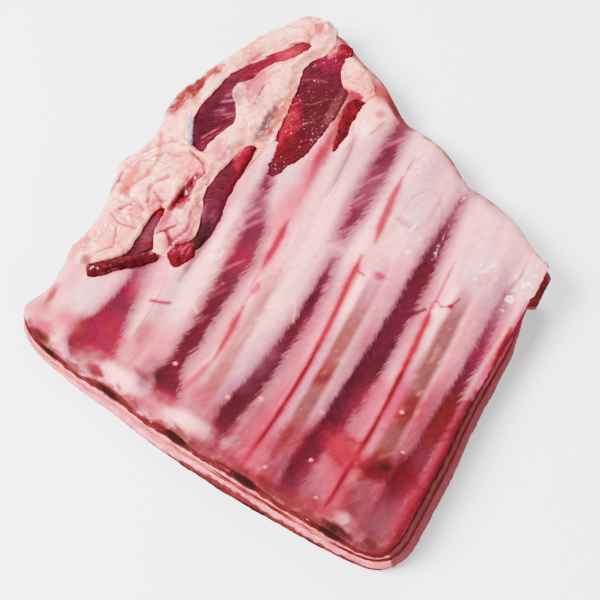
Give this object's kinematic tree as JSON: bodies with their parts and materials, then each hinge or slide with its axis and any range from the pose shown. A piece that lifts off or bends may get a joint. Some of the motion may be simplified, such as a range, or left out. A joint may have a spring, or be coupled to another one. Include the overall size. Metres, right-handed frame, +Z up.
{
  "type": "lamb ribs",
  "caption": "Raw lamb breast ribs in one piece: rib bones under a thin membrane, dark muscle between them, a flap of fat and muscle on one side and a thick cap of fat below.",
  "frame": {"origin": "centre of the part's box in plan, on the surface that it rests on", "axes": "+Z up, out of the side with the rib bones; +Y along the ribs, away from the cut front; +X across the ribs, towards the thick cut side"},
  "size_m": [0.1456, 0.1634, 0.021],
  "materials": {
    "fat": "moist, soft and slightly shiny",
    "lean": "raw and moist",
    "membrane": "wet and glossy",
    "muscle": "raw, wet and fibrous",
    "bone": "sawn, moist and dull"
  },
  "bodies": {
    "root": {"fat_cap": "fat", "lean_layer": "lean", "chest_wall": "membrane", "outer_fat": "fat", "inner_fat": "fat", "fat_lump": "fat", "valley_meat": "muscle", "groove_meat": "muscle", "skirt_strip": "muscle", "flank_muscle": "muscle", "small_meat": "lean", "meat_tip": "lean", "cut_strip": "lean", "rib_1": "bone", "rib_2": "bone", "rib_3": "bone", "rib_4": "bone", "rib_5": "bone"}
  },
  "joints": []
}
